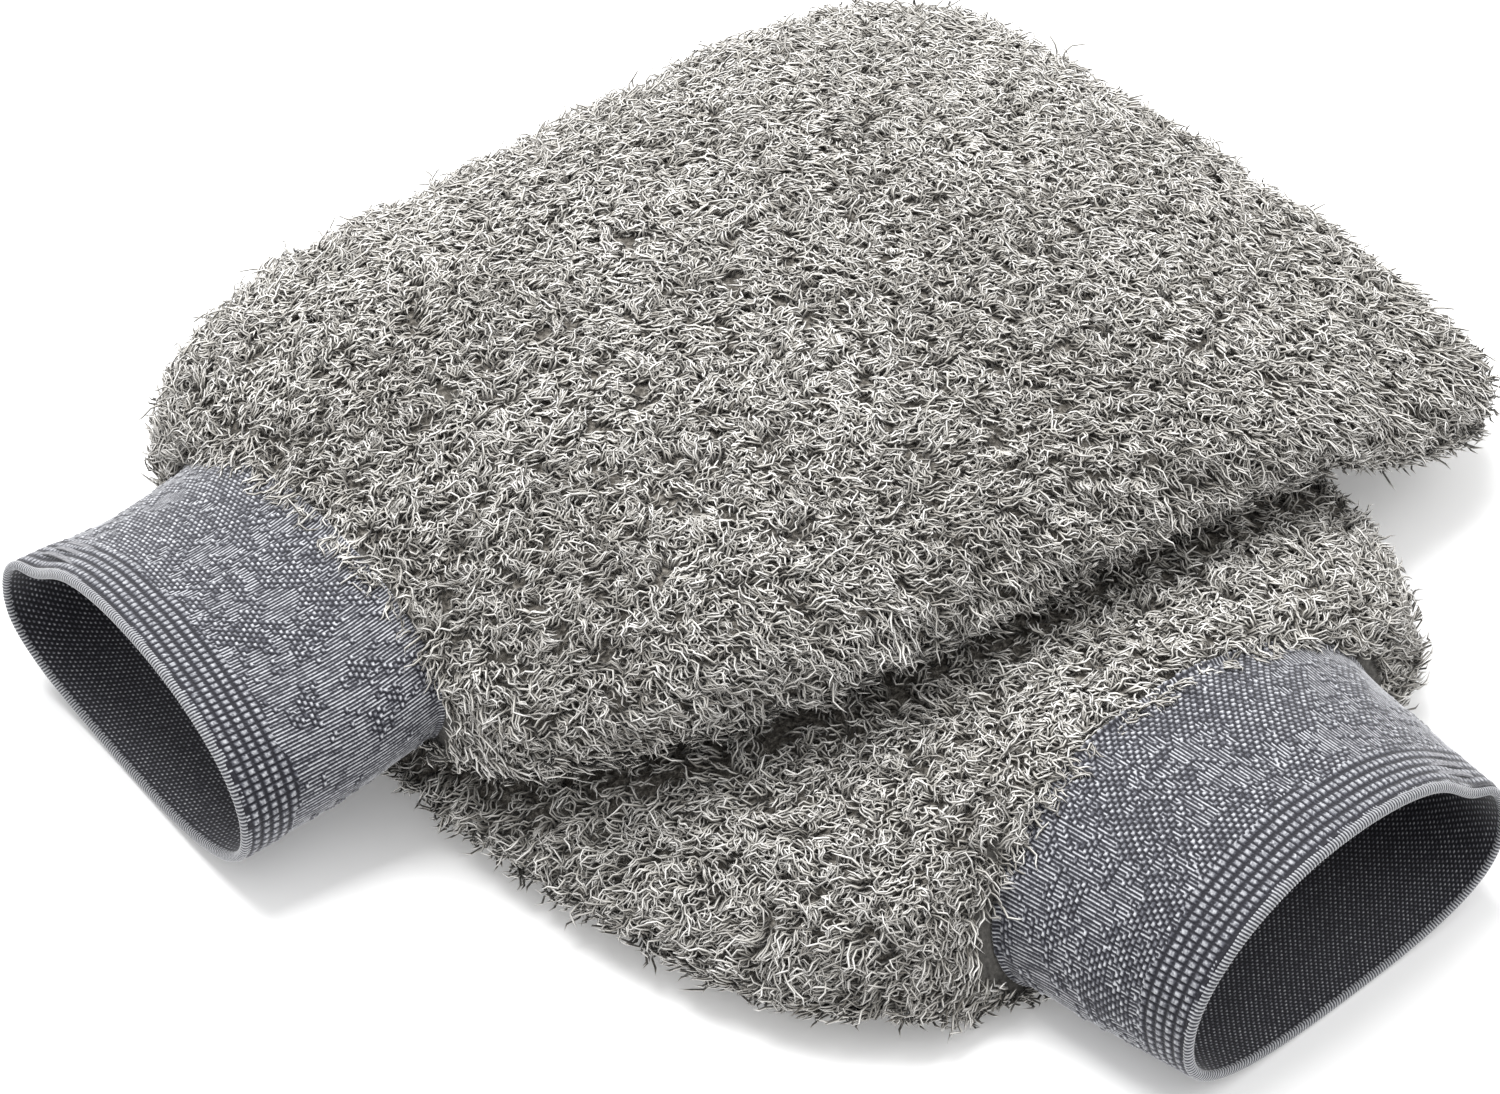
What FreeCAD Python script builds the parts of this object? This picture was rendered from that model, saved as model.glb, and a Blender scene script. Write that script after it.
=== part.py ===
"""A pair of pile-fabric grooming mitts with knitted cuffs, one lying across the other.

Each mitt is cut from two pile panels sewn round the sides and fingertips, with an elastic
double-knit cuff joined on at the wrist. Units are millimetres, +Z is up, and the origin is
on the floor under the middle of the pair. A mitt is described in its own directions: along
runs from the wrist (0) to the fingertips, with the cuff at negative values, and across
runs to the mitt's left.
"""
import FreeCAD, Part
import math
import os

Vector = FreeCAD.Vector
os.makedirs("parts", exist_ok=True)

# ---- driving dimensions shared by both mitts ----
CUFF_LENGTH = 46.0          # wrist seam to the mouth
PANEL_WALL = 9.0            # backing cloth and pile, pressed by hand
PANEL_START = 3.0           # the panels begin this far beyond the wrist seam
RIM_WIDTH = 12.0            # width of a panel's sewn rim, its pile included
SEAM_HALF = 0.7             # half the thickness of the sewn allowances
SEAM_CLEAR = 0.9            # between the allowances and each panel
SEAM_EDGES = (4.5, 10.2)    # the sewn allowances, as distances inside the outline
THREAD_EDGES = (10.5, 11.8)  # overlock thread round their raw edge
END_CLOSE = 14.0            # the pocket closes over this length at the fingertips
FACE_KNIT = (0.0, 0.9)      # cuff layers, as depths below its outer surface
ELASTIC = (1.05, 1.45)
BACK_KNIT = (1.6, 2.4)
WELT_DEPTH = (-0.2, 2.6)
WELT_LENGTH = 2.0           # finished edge at the mouth
ELASTIC_ROWS = 5
ELASTIC_PITCH = 2.8
ELASTIC_WIDTH = 1.2
WRIST_SEAM = (0.8, 2.2)     # start and end of the wrist allowance, along the mitt
WRIST_DEPTH = (0.6, 6.0)
WRIST_THREAD_DEPTH = (6.3, 7.3)
SMALL_GAP = 0.2

# ---- each mitt as it lies ----
# origin and heading place the wrist centre on the floor plan. The tables give a profile as
# (along, value) pairs, joined by a smooth monotone curve:
#   left, right      half widths of the body         corner    fingertip corner radii
#   cuff_left/right  half widths of the cuff         half      half height of the section
#   middle           height of the section's middle  lean      forward lean of the section
#   drop_left/right  how far the edges hang below the middle
#   power            exponent of the section's oval
LOWER = {
    "name": "lower",
    "origin": (90.0, -99.0),
    "heading": 130.0,
    "length": 258.0,
    "corner": (62.0, 62.0),
    "left": [(0, 58), (4, 75), (10, 84), (20, 94), (40, 104), (65, 111), (100, 116),
             (122, 117), (142, 108), (170, 101), (258, 94)],
    "right": [(0, 57), (4, 73), (10, 81), (20, 90), (40, 100), (65, 107), (110, 113),
              (258, 113)],
    "cuff_left": [(-46, 48), (0, 56)],
    "cuff_right": [(-46, 46), (0, 56)],
    "half": [(-46, 22), (0, 19.3), (40, 17), (120, 15.5), (220, 12.5), (246, 8.5), (258, 4.5)],
    "middle": [(-46, 22.2), (-10, 20.0), (0, 19.5), (40, 16), (120, 14.5), (220, 11.5),
               (246, 7.5), (258, 4.5)],
    "drop_left": [(-46, -6), (0, -6), (40, -6), (120, -7), (258, -3)],
    "drop_right": [(-46, -4), (0, -3), (258, -2)],
    "lean": [(-46, 0.16), (0, 0.62), (60, 0.1), (120, 0), (258, 0)],
    "power": [(-46, 2.2), (0, 2.2), (30, 2.3), (258, 2.5)],
}
UPPER = {
    "name": "upper",
    "origin": (-97.0, -46.0),
    "heading": 38.5,
    "length": 274.0,
    "corner": (50.0, 36.0),
    "left": [(0, 54), (4, 68), (10, 77), (20, 86), (40, 96), (65, 103), (110, 107),
             (200, 112), (274, 113)],
    "right": [(0, 54), (4, 70), (10, 80), (20, 90), (40, 101), (65, 110), (110, 115),
              (200, 118), (274, 118)],
    "cuff_left": [(-46, 48), (0, 54)],
    "cuff_right": [(-46, 49), (0, 54)],
    "half": [(-46, 21.8), (0, 17.5), (40, 16.5), (120, 16), (220, 14), (255, 10), (274, 5)],
    "middle": [(-46, 22), (-20, 25), (0, 30.5), (20, 39), (40, 44.5), (80, 48.5),
               (130, 49), (180, 47), (230, 38), (274, 29)],
    "drop_left": [(-46, 0), (-20, -5), (0, -8), (20, -13), (40, -17), (90, -21),
                  (160, -19), (220, -12), (274, -2)],
    "drop_right": [(-46, -2), (-20, -1), (0, 0), (40, -3), (120, -4), (190, -7),
                   (250, -13), (274, -8)],
    "lean": [(-46, 0.10), (0, 0.25), (60, 0), (274, 0)],
    "power": [(-46, 2.2), (0, 2.2), (30, 2.3), (274, 2.5)],
}

# ---- stations and point counts of the lofts ----
BODY_STATIONS = [3, 6, 11, 19, 30, 45, 65, 90, 115, 140, 165, 185, 205]
CORNER_ANGLES = [0, 15, 30, 45, 60, 72, 82, 90]
CUFF_STATIONS = [-46, -38, -30, -22, -14, -7, 0]
TIP_STEPS = 16              # steps of the seam along the fingertips
HALF_POINTS = 20
RING_POINTS = 40
MESH_STEP = 0.3             # fineness of the mesh that measures the pair's plan


def smooth(table, x):
    """Monotone cubic curve through the (x, y) pairs of a profile table."""
    if x <= table[0][0]:
        return float(table[0][1])
    if x >= table[-1][0]:
        return float(table[-1][1])
    steps = [b[0] - a[0] for a, b in zip(table, table[1:])]
    rates = [(b[1] - a[1]) / h for a, b, h in zip(table, table[1:], steps)]
    slopes = [rates[0]]
    for before, after in zip(rates, rates[1:]):
        turning = before * after <= 0
        slopes.append(0.0 if turning else 2 * before * after / (before + after))
    slopes.append(rates[-1])
    i = max(k for k in range(len(steps)) if table[k][0] <= x)
    t = (x - table[i][0]) / steps[i]
    return ((1 + 2 * t) * (1 - t) ** 2 * table[i][1]
            + t * (1 - t) ** 2 * steps[i] * slopes[i]
            + t * t * (3 - 2 * t) * table[i + 1][1]
            + t * t * (t - 1) * steps[i] * slopes[i + 1])


def half_width(mitt, along, side):
    """Half width of the plan outline: side is 0 for left and 1 for right."""
    name = ("left", "right")[side]
    if along <= 0:
        return smooth(mitt["cuff_" + name], along)
    width = smooth(mitt[name], along)
    radius = mitt["corner"][side]
    past = along - (mitt["length"] - radius)
    if past > 0:
        width += math.sqrt(max(0.0, radius ** 2 - past ** 2)) - radius
    return width


def middle_height(mitt, along, across):
    """Height of the mid surface, which hangs down towards both edges."""
    side = 0 if across >= 0 else 1
    share = min(1.0, abs(across) / half_width(mitt, along, side))
    drop = smooth(mitt[("drop_left", "drop_right")[side]], along)
    return smooth(mitt["middle"], along) + drop * share ** 2


def place(mitt, along, across, height):
    """World point of a mitt's own coordinates, leaned with its section."""
    lean = smooth(mitt["lean"], along)
    forward = along + lean * (height - smooth(mitt["middle"], along))
    turn = math.radians(mitt["heading"])
    x = mitt["origin"][0] + forward * math.cos(turn) - across * math.sin(turn)
    y = mitt["origin"][1] + forward * math.sin(turn) + across * math.cos(turn)
    return Vector(x, y, height)


def oval(mitt, along, angle, depth):
    """Point of the section's oval, depth below the outer surface."""
    power = smooth(mitt["power"], along)
    cosine = math.cos(angle)
    sine = math.sin(angle)
    share = math.copysign(abs(cosine) ** (2 / power), cosine)
    rise = math.copysign(abs(sine) ** (2 / power), sine)
    side = 0 if share >= 0 else 1
    across = share * (half_width(mitt, along, side) - depth)
    height = middle_height(mitt, along, across) + rise * (smooth(mitt["half"], along) - depth)
    return place(mitt, along, across, height)


def closed_curve(points):
    curve = Part.BSplineCurve()
    curve.interpolate(points, PeriodicFlag=True)
    return Part.Wire([curve.toShape()])


def open_edge(points):
    curve = Part.BSplineCurve()
    curve.interpolate(points)
    return curve.toShape()


def tube(mitt, start, end, depths):
    """Closed ring of cloth between two depths, from one station to another."""
    inner_stations = [s for s in CUFF_STATIONS if start + 1 < s < end - 1]
    stations = [start] + inner_stations + [end]
    shells = []
    for depth in depths:
        wires = []
        for along in stations:
            angles = [2 * math.pi * k / RING_POINTS for k in range(RING_POINTS)]
            wires.append(closed_curve([oval(mitt, along, a, depth) for a in angles]))
        shells.append(Part.makeLoft(wires, True, False))
    return shells[0].cut(shells[1])


def body_stations(mitt):
    radius = max(mitt["corner"])
    start = mitt["length"] - radius
    corners = [start + radius * math.sin(math.radians(a)) for a in CORNER_ANGLES]
    return [s for s in BODY_STATIONS if s < start - 8] + corners


def pocket_half(mitt, along):
    """Half height of the hand pocket, closing towards the fingertips."""
    rim = SEAM_HALF + SEAM_CLEAR
    free = max(smooth(mitt["half"], along) - PANEL_WALL, rim + 0.6)
    left = (mitt["length"] - along) / END_CLOSE
    return rim + (free - rim) * max(0.0, min(1.0, left - 0.4))


def panel(mitt, up):
    """One pile panel: the upper (up = 1) or the under (up = -1) half of the mitt."""
    rim = SEAM_HALF + SEAM_CLEAR
    wires = []
    for along in body_stations(mitt):
        half = smooth(mitt["half"], along)
        power = smooth(mitt["power"], along)
        hollow = pocket_half(mitt, along) - rim
        outer = []
        inner = []
        for k in range(HALF_POINTS + 1):
            share = math.cos(math.pi * k / HALF_POINTS)
            side = 0 if share >= 0 else 1
            rise = max(0.0, 1 - abs(share) ** power) ** (1 / power)
            width = half_width(mitt, along, side)
            for points, reach, height in ((outer, width, half - rim),
                                          (inner, width - RIM_WIDTH, hollow)):
                across = share * reach
                level = middle_height(mitt, along, across) + up * (rim + height * rise)
                points.append(place(mitt, along, across, level))
        edges = [open_edge(outer), Part.makeLine(outer[-1], inner[-1]),
                 open_edge(inner[::-1]), Part.makeLine(inner[0], outer[0])]
        wires.append(Part.Wire(edges))
    return Part.makeLoft(wires, True, False)


def outline(mitt):
    """Plan outline from the left of the wrist round the fingertips to its right."""
    panel_stations = body_stations(mitt)
    halfway = [(a + b) / 2 for a, b in zip(panel_stations, panel_stations[1:])]
    stations = sorted(panel_stations + halfway)
    points = [(s, half_width(mitt, s, 0)) for s in stations]
    for step in range(1, TIP_STEPS):
        share = 1 - 2 * step / TIP_STEPS
        points.append((mitt["length"], half_width(mitt, mitt["length"], 0 if share > 0 else 1)
                       * share))
    points += [(s, -half_width(mitt, s, 1)) for s in reversed(stations)]
    return points


def inward(points, distance):
    """The outline moved inwards, each point along the normal of its neighbours' chord."""
    moved = [(points[0][0], points[0][1] - distance)]
    for before, (along, across), after in zip(points, points[1:], points[2:]):
        step = (after[0] - before[0], after[1] - before[1])
        length = math.hypot(step[0], step[1])
        moved.append((along + distance * step[1] / length, across - distance * step[0] / length))
    moved.append((points[-1][0], points[-1][1] + distance))
    return moved


def seam_strip(mitt, start, end):
    """Sewn strip that follows the outline, between two distances inside it."""
    rails = [inward(outline(mitt), start), inward(outline(mitt), end)]
    wires = []
    for outer, inner in zip(*rails):
        corners = []
        for (along, across), up in ((outer, 1), (inner, 1), (inner, -1), (outer, -1)):
            level = middle_height(mitt, max(along, PANEL_START), across)
            corners.append(place(mitt, along, across, level + up * SEAM_HALF))
        wires.append(Part.makePolygon(corners + [corners[0]]))
    return Part.makeLoft(wires, True, True)


def make_mitt(mitt):
    """All the pieces of one mitt, by node name."""
    mouth = -CUFF_LENGTH
    knit_start = mouth + WELT_LENGTH + SMALL_GAP
    rows = []
    for row in range(ELASTIC_ROWS):
        start = knit_start + 1.0 + row * ELASTIC_PITCH
        rows.append(tube(mitt, start, start + ELASTIC_WIDTH, ELASTIC))
    pieces = {
        "top_pile_panel": panel(mitt, 1),
        "bottom_pile_panel": panel(mitt, -1),
        "side_seam": seam_strip(mitt, *SEAM_EDGES),
        "side_seam_overlock": seam_strip(mitt, *THREAD_EDGES),
        "wrist_seam": tube(mitt, *WRIST_SEAM, WRIST_DEPTH),
        "wrist_seam_overlock": tube(mitt, *WRIST_SEAM, WRIST_THREAD_DEPTH),
        "cuff_face_knit": tube(mitt, knit_start, 0.0, FACE_KNIT),
        "cuff_back_knit": tube(mitt, knit_start, 0.0, BACK_KNIT),
        "cuff_mouth_welt": tube(mitt, mouth, mouth + WELT_LENGTH, WELT_DEPTH),
        "cuff_elastic_yarns": Part.makeCompound(rows),
    }
    return {mitt["name"] + "_" + name: shape for name, shape in pieces.items()}


def rest_on_floor(shape):
    """Flatten what would reach below the floor, where the panel lies on it."""
    size = 1000.0
    floor = Part.makeBox(size, size, size, Vector(-size / 2, -size / 2, -size))
    return shape.cut(floor)


nodes = make_mitt(LOWER)
nodes.update(make_mitt(UPPER))
nodes["lower_bottom_pile_panel"] = rest_on_floor(nodes["lower_bottom_pile_panel"])

# The origin is the middle of the whole pair's plan.
surface = [point for shape in nodes.values() for point in shape.tessellate(MESH_STEP)[0]]
middle_x = (min(p.x for p in surface) + max(p.x for p in surface)) / 2
middle_y = (min(p.y for p in surface) + max(p.y for p in surface)) / 2
centre = Vector(-middle_x, -middle_y, 0)
for node_name, node_shape in nodes.items():
    node_shape.translate(centre)
    node_shape.exportStep("parts/" + node_name + ".step")
    print(node_name, "solids", len(node_shape.Solids), "valid", node_shape.isValid(),
          "volume cm3", round(node_shape.Volume / 1000, 2))

# Where the cuffs hinge: the top of each wrist seam.
for mitt in (LOWER, UPPER):
    top = oval(mitt, SMALL_GAP, math.pi / 2, 0.0) + centre
    print(mitt["name"], "cuff hinge at", [round(c, 2) for c in top])
print("shift to the origin", round(centre.x, 3), round(centre.y, 3))
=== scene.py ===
"""Looks of a pair of pile-fabric grooming mitts with knitted cuffs, one across the other.

Each mitt has its pile cloth (two panels, moved a little by a capped cloth simulation and
covered with curly strands in locks), a double-knit cuff with raised stitches, a welt at the
mouth and sewn, overlocked seams. Lengths are metres in the row frame; a mitt's own tables
are in millimetres, as in the CAD source.
"""
import math
import bpy
import numpy as np
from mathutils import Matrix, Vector


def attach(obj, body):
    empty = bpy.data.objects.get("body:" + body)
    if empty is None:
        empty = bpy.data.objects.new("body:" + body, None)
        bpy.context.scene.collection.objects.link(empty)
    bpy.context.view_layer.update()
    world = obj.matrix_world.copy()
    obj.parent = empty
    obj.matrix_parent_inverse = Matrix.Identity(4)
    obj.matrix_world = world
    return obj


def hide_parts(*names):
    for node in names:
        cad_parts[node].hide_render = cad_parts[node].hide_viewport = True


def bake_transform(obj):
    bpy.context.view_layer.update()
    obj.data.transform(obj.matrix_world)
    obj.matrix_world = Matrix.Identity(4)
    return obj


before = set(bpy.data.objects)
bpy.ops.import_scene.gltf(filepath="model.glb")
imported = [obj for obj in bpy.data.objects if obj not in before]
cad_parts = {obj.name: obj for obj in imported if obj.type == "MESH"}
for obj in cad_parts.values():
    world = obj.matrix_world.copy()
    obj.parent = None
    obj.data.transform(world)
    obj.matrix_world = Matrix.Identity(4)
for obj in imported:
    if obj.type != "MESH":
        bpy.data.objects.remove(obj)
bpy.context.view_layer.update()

MM = 0.001
SHIFT = (-6.611, -13.202)       # the mitts' plan to the row frame, mm
CUFF_LENGTH = 46.0

LOWER = {
    "name": "lower", "origin": (90.0, -99.0), "heading": 130.0, "length": 258.0,
    "corner": (62.0, 62.0),
    "left": [(0, 58), (4, 75), (10, 84), (20, 94), (40, 104), (65, 111), (100, 116),
             (122, 117), (142, 108), (170, 101), (258, 94)],
    "right": [(0, 57), (4, 73), (10, 81), (20, 90), (40, 100), (65, 107), (110, 113),
              (258, 113)],
    "cuff_left": [(-46, 48), (0, 56)],
    "cuff_right": [(-46, 46), (0, 56)],
    "half": [(-46, 22), (0, 19.3), (40, 17), (120, 15.5), (220, 12.5), (246, 8.5), (258, 4.5)],
    "middle": [(-46, 22.2), (-10, 20.0), (0, 19.5), (40, 16), (120, 14.5), (220, 11.5),
               (246, 7.5), (258, 4.5)],
    "drop_left": [(-46, -6), (0, -6), (40, -6), (120, -7), (258, -3)],
    "drop_right": [(-46, -4), (0, -3), (258, -2)],
    "lean": [(-46, 0.16), (0, 0.62), (60, 0.1), (120, 0), (258, 0)],
    "power": [(-46, 2.2), (0, 2.2), (30, 2.3), (258, 2.5)],
    "hinge": (75.57, -102.90, 38.78),
}
UPPER = {
    "name": "upper", "origin": (-97.0, -46.0), "heading": 38.5, "length": 274.0,
    "corner": (50.0, 36.0),
    "left": [(0, 54), (4, 68), (10, 77), (20, 86), (40, 96), (65, 103), (110, 107),
             (200, 112), (274, 113)],
    "right": [(0, 54), (4, 70), (10, 80), (20, 90), (40, 101), (65, 110), (110, 115),
              (200, 118), (274, 118)],
    "cuff_left": [(-46, 48), (0, 54)],
    "cuff_right": [(-46, 49), (0, 54)],
    "half": [(-46, 21.8), (0, 17.5), (40, 16.5), (120, 16), (220, 14), (255, 10), (274, 5)],
    "middle": [(-46, 22), (-20, 25), (0, 30.5), (20, 39), (40, 44.5), (80, 48.5),
               (130, 49), (180, 47), (230, 38), (274, 29)],
    "drop_left": [(-46, 0), (-20, -5), (0, -8), (20, -13), (40, -17), (90, -21),
                  (160, -19), (220, -12), (274, -2)],
    "drop_right": [(-46, -2), (-20, -1), (0, 0), (40, -3), (120, -4), (190, -7),
                   (250, -13), (274, -8)],
    "lean": [(-46, 0.10), (0, 0.25), (60, 0), (274, 0)],
    "power": [(-46, 2.2), (0, 2.2), (30, 2.3), (274, 2.5)],
    "hinge": (-100.04, -56.36, 48.06),
}

# ---- the pile cloth: lengths in mm ----
CLOTH_DEPTH = 2.5               # backing cloth below the pile's surface
CLOTH_THICK = 1.4
CLOTH_FLOOR = 1.6               # lowest point of the cloth's outer face
INNER_FLOOR = 0.9               # lowest point of its inner face
EDGE_THICK = 0.3                # share of the thickness left at the panel's edges
TIP_CLOSE = 7.0                 # the panels meet over this length at the fingertips
SEAM_GROOVE = 0.8               # how far the left seam sinks between its lips
SIM_CAP = 1.8                   # furthest that the simulation may move the cloth
SIM_FRAMES = 20
STRAND_RADIUS = 0.285
STRAND_SIDES = 3
STRAND_RINGS = {1: 5, -1: 4}    # rings of a strand on the top and the bottom panel
LOCK_STRANDS = 4                # strands that curl together
LOCK_PITCH = 0.55               # between the strands of a lock
PIECE_STRANDS = 7000            # most strands in one mesh
TOP_DENSITY = 1.08              # strands per square mm
UNDER_DENSITY = 0.27
COVERED_DENSITY = 0.32          # where the upper mitt lies on the lower
WRIST_CELLS = 5                 # rows of cells at the wrist whose pile hides the seam
FLOOR_CLEAR = 0.25

# ---- the cuffs ----
FACE_COLUMNS, FACE_ROWS, FACE_BLOCK = 600, 150, 4
BACK_COLUMNS, BACK_ROWS, BACK_BLOCK = 672, 104, 6
STITCH_ROWS = 3                 # grid rows for each course of raised stitches
SPACING_STATION = -23.0         # half way along the cuff, where the wales are evenly spaced
# Waves of the mouth's edge: the angle in degrees, its spread in radians, its rise in mm.
LIPS = {"lower": [(140, 0.22, -3.0), (160, 0.25, 1.0)], "upper": [(42, 0.24, -3.2), (22, 0.3, 1.2)]}
# Drift of raised stitches: its angle in degrees, its spread in radians, least and most share.
DRIFTS = {"lower": (75, 0.9, 0.36, 0.66), "upper": (62, 0.8, 0.32, 0.70)}
FLARES = {"lower": (0.0, 1.0), "upper": (4.0, 0.0)}     # the mouth's left and right end, mm

# ---- the camera ----
CAMERA_TILT = 41.5              # degrees above the floor
CAMERA_DISTANCE = 0.690         # from the middle of the pair, m


# ---- the mitts' shape, in arrays ----
def smooth(table, x):
    """Monotone cubic curve through the (x, y) pairs of a profile table."""
    xs, ys = np.array(table, float).T
    steps = np.diff(xs)
    rates = np.diff(ys) / steps
    before, after = rates[:-1], rates[1:]
    product = before * after
    inner = np.where(product <= 0, 0.0, 2 * product / np.where(product <= 0, 1.0, before + after))
    slopes = np.concatenate([rates[:1], inner, rates[-1:]])
    x = np.clip(np.asarray(x, float), xs[0], xs[-1])
    i = np.clip(np.searchsorted(xs, x, side="right") - 1, 0, len(steps) - 1)
    t = (x - xs[i]) / steps[i]
    return ((1 + 2 * t) * (1 - t) ** 2 * ys[i] + t * (1 - t) ** 2 * steps[i] * slopes[i]
            + t * t * (3 - 2 * t) * ys[i + 1] + t * t * (t - 1) * steps[i] * slopes[i + 1])


def half_width(mitt, along, left):
    """Half width of the outline; left is an array of true and false."""
    widths = []
    for side, name in enumerate(("left", "right")):
        width = np.where(along <= 0, smooth(mitt["cuff_" + name], along),
                         smooth(mitt[name], along))
        radius = mitt["corner"][side]
        past = np.clip(along - (mitt["length"] - radius), 0, radius)
        widths.append(width + np.sqrt(radius ** 2 - past ** 2) - radius)
    return np.where(left, widths[0], widths[1])


def middle_height(mitt, along, across):
    """Height of the mid surface, which hangs down towards both edges."""
    left = across >= 0
    share = np.minimum(1.0, np.abs(across) / half_width(mitt, along, left))
    drop = np.where(left, smooth(mitt["drop_left"], along), smooth(mitt["drop_right"], along))
    return smooth(mitt["middle"], along) + drop * share ** 2


def place(mitt, along, across, height):
    """Row-frame points, in metres, of a mitt's own coordinates."""
    lean = smooth(mitt["lean"], along)
    forward = along + lean * (height - smooth(mitt["middle"], along))
    turn = math.radians(mitt["heading"])
    x = mitt["origin"][0] + SHIFT[0] + forward * math.cos(turn) - across * math.sin(turn)
    y = mitt["origin"][1] + SHIFT[1] + forward * math.sin(turn) + across * math.cos(turn)
    return np.stack([x, y, height], -1) * MM


def oval(mitt, along, angle, depth):
    """Points of the section's oval, at a depth below its outer surface."""
    power = smooth(mitt["power"], along)
    cosine, sine = np.cos(angle), np.sin(angle)
    share = np.sign(cosine) * np.abs(cosine) ** (2 / power)
    rise = np.sign(sine) * np.abs(sine) ** (2 / power)
    across = share * (half_width(mitt, along, share >= 0) - depth)
    height = middle_height(mitt, along, across) + rise * (smooth(mitt["half"], along) - depth)
    return place(mitt, along, across, height)


def in_plan(mitt, points):
    """True where points, in metres, lie over the mitt's body."""
    turn = math.radians(mitt["heading"])
    x = points[:, 0] / MM - mitt["origin"][0] - SHIFT[0]
    y = points[:, 1] / MM - mitt["origin"][1] - SHIFT[1]
    along = x * math.cos(turn) + y * math.sin(turn)
    across = -x * math.sin(turn) + y * math.cos(turn)
    inside = np.abs(across) < half_width(mitt, np.clip(along, -40, mitt["length"]), across >= 0)
    return inside & (along > -40) & (along < mitt["length"])


# ---- noise and vectors ----
def unit(v):
    return v / np.maximum(np.linalg.norm(v, axis=-1, keepdims=True), 1e-12)


def wave_noise(points, scale, seed, channels=3):
    """Smooth lattice noise from -1 to 1 at points in metres; scale is in mm."""
    size = 32
    lattice = np.random.default_rng(seed).uniform(-1, 1, (size, size, size, channels))
    p = points / (scale * MM)
    base = np.floor(p).astype(int)
    f = p - base
    f = f * f * (3 - 2 * f)
    total = np.zeros(points.shape[:-1] + (channels,))
    for corner in range(8):
        bits = np.array([corner & 1, corner >> 1 & 1, corner >> 2 & 1])
        cell = (base + bits) % size
        weight = np.prod(np.where(bits == 1, f, 1 - f), axis=-1, keepdims=True)
        total += weight * lattice[cell[..., 0], cell[..., 1], cell[..., 2]]
    return total


def grid_normals(grid):
    """Unit normals of a grid of points, from its rows and columns."""
    return unit(np.cross(np.gradient(grid, axis=0), np.gradient(grid, axis=1)))


def finer(grid, times):
    """Cubic refinement of a grid along both axes."""
    for axis in (0, 1):
        g = np.moveaxis(grid, axis, 0)
        n = len(g)
        t = np.arange((n - 1) * times + 1) / times
        i = np.minimum(t.astype(int), n - 2)
        f = (t - i).reshape(-1, *[1] * (g.ndim - 1))
        p0, p1, p2, p3 = (g[np.clip(i + k, 0, n - 1)] for k in (-1, 0, 1, 2))
        g = 0.5 * (2 * p1 + (p2 - p0) * f + (2 * p0 - 5 * p1 + 4 * p2 - p3) * f ** 2
                   + (3 * p1 - p0 - 3 * p2 + p3) * f ** 3)
        grid = np.moveaxis(g, 0, axis)
    return grid


# ---- meshes ----
def make_mesh(name, points, quads, triangles=None, floats=None, bake_uv=None):
    """Mesh object from arrays. floats are point attributes; bake_uv is one pair per corner."""
    triangles = np.zeros((0, 3), int) if triangles is None else triangles
    loops = np.concatenate([quads.reshape(-1), triangles.reshape(-1)])
    sizes = np.concatenate([np.full(len(quads), 4), np.full(len(triangles), 3)])
    mesh = bpy.data.meshes.new(name)
    mesh.vertices.add(len(points))
    mesh.vertices.foreach_set("co", points.astype(np.float32).reshape(-1))
    mesh.loops.add(len(loops))
    mesh.loops.foreach_set("vertex_index", loops.astype(np.int32))
    mesh.polygons.add(len(sizes))
    starts = np.concatenate([[0], np.cumsum(sizes)[:-1]])
    mesh.polygons.foreach_set("loop_start", starts.astype(np.int32))
    mesh.polygons.foreach_set("use_smooth", np.ones(len(sizes), bool))
    for key, values in (floats or {}).items():
        attribute = mesh.attributes.new(key, "FLOAT", "POINT")
        attribute.data.foreach_set("value", values.astype(np.float32))
    if bake_uv is not None:
        layer = mesh.uv_layers.new(name="OFBake")
        layer.data.foreach_set("uv", bake_uv.astype(np.float32).reshape(-1))
    mesh.update(calc_edges=True)
    obj = bpy.data.objects.new(name, mesh)
    bpy.context.scene.collection.objects.link(obj)
    return obj


def grid_quads(rows, columns, wrap=False, start=0, flip=False):
    """Quads of a rows x columns grid of points, closed round the columns with wrap."""
    r = np.arange(rows - 1)[:, None]
    c = np.arange(columns if wrap else columns - 1)[None, :]
    n = (c + 1) % columns
    quads = np.stack([r * columns + c, r * columns + n, (r + 1) * columns + n,
                      (r + 1) * columns + c], -1).reshape(-1, 4) + start
    return quads[:, ::-1] if flip else quads


def grid_uv(quads, rows, columns, start, low, high):
    """Corner UVs of grid quads, in the part of the picture between low and high."""
    index = quads - start
    u = (index % columns).astype(float)
    wrapped = (u.max(1, keepdims=True) - u.min(1, keepdims=True)) > 1
    u = np.where(wrapped & (u == 0), columns, u) / columns
    v = (index // columns) / (rows - 1)
    return np.stack([low[0] + u * (high[0] - low[0]), low[1] + v * (high[1] - low[1])], -1)


def tubes(paths, radii, sides, upward):
    """Rings of points round many paths (n, k, 3); returns points (n, k, sides, 3).
    The first point of each ring is the one towards the path's upward vector."""
    forward = unit(np.gradient(paths, axis=1))
    upward = np.broadcast_to(upward, paths[:, 0].shape)[:, None, :]
    up = unit(upward - forward * np.sum(upward * forward, -1, keepdims=True))
    side = np.cross(up, forward)
    turn = math.pi / 2 + 2 * math.pi * np.arange(sides) / sides
    ring = (np.cos(turn)[:, None] * side[:, :, None] + np.sin(turn)[:, None] * up[:, :, None])
    return paths[:, :, None] + ring * radii[..., None, None]


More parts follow.
